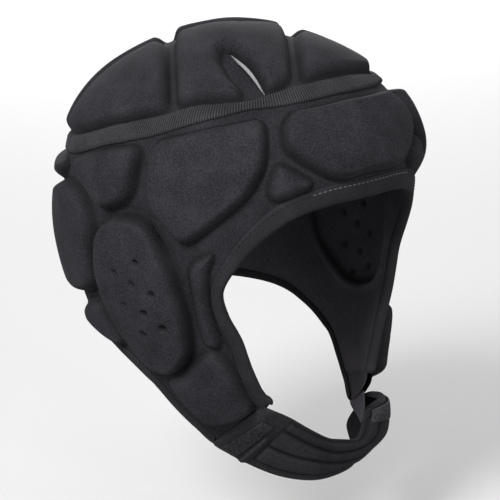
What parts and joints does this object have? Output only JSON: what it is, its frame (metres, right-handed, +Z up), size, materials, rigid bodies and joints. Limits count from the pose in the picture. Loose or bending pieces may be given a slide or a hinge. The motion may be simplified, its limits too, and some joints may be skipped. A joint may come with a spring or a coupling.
{
  "type": "rugby scrum cap",
  "caption": "Black padded rugby scrum cap: raised foam pads on thin stretch fabric, a ribbed elastic band, bound edges, ear pads with hearing holes and a wide chin strap",
  "frame": {"origin": "where the top of the head meets the lining, at the inner top of the crown", "axes": "+Z up through the crown, the face opening looks along -Y, the wearer's left is +X"},
  "size_m": [0.1888, 0.2219, 0.2564],
  "materials": {
    "laminate": "matte charcoal-black stretch fabric over thin foam",
    "padded_fabric": "matte charcoal-black stretch fabric over thick foam, very fine grain",
    "ribbed_elastic": "charcoal elastic with fine ribs across its width",
    "binding": "smooth dark folded edge tape",
    "strap_fabric": "black fabric-covered strap with lengthwise ribs",
    "grip_tape": "rough hook-and-loop tape",
    "lining": "smooth black lining",
    "stitching": "dark sewing thread",
    "cut_foam": "pale cut edge that shows in the slit vents"
  },
  "bodies": {
    "root": {"crown_shell": "laminate", "lower_shell": "laminate", "elastic_band": "ribbed_elastic", "face_binding": "binding", "neck_binding": "binding", "chin_strap": "strap_fabric", "strap_loop_patch": "grip_tape", "strap_grip_end": "grip_tape", "jaw_tab": "strap_fabric", "brow_pad_right": "padded_fabric", "temple_pad_right": "padded_fabric", "rear_upper_pad_right": "padded_fabric", "ear_pad_right": "padded_fabric", "rear_side_pad_right": "padded_fabric", "rear_low_pad_right": "padded_fabric", "front_ear_pad_right": "padded_fabric", "jaw_pad_right": "padded_fabric", "crown_rear_pad_right": "padded_fabric", "crown_middle_pad_right": "padded_fabric", "crown_front_pad_right": "padded_fabric", "brow_pad_left": "padded_fabric", "temple_pad_left": "padded_fabric", "rear_upper_pad_left": "padded_fabric", "ear_pad_left": "padded_fabric", "rear_side_pad_left": "padded_fabric", "rear_low_pad_left": "padded_fabric", "front_ear_pad_left": "padded_fabric", "jaw_pad_left": "padded_fabric", "crown_rear_pad_left": "padded_fabric", "crown_middle_pad_left": "padded_fabric", "crown_front_pad_left": "padded_fabric", "forehead_pad": "padded_fabric", "back_upper_pad": "padded_fabric", "nape_pad": "padded_fabric"}
  },
  "joints": []
}
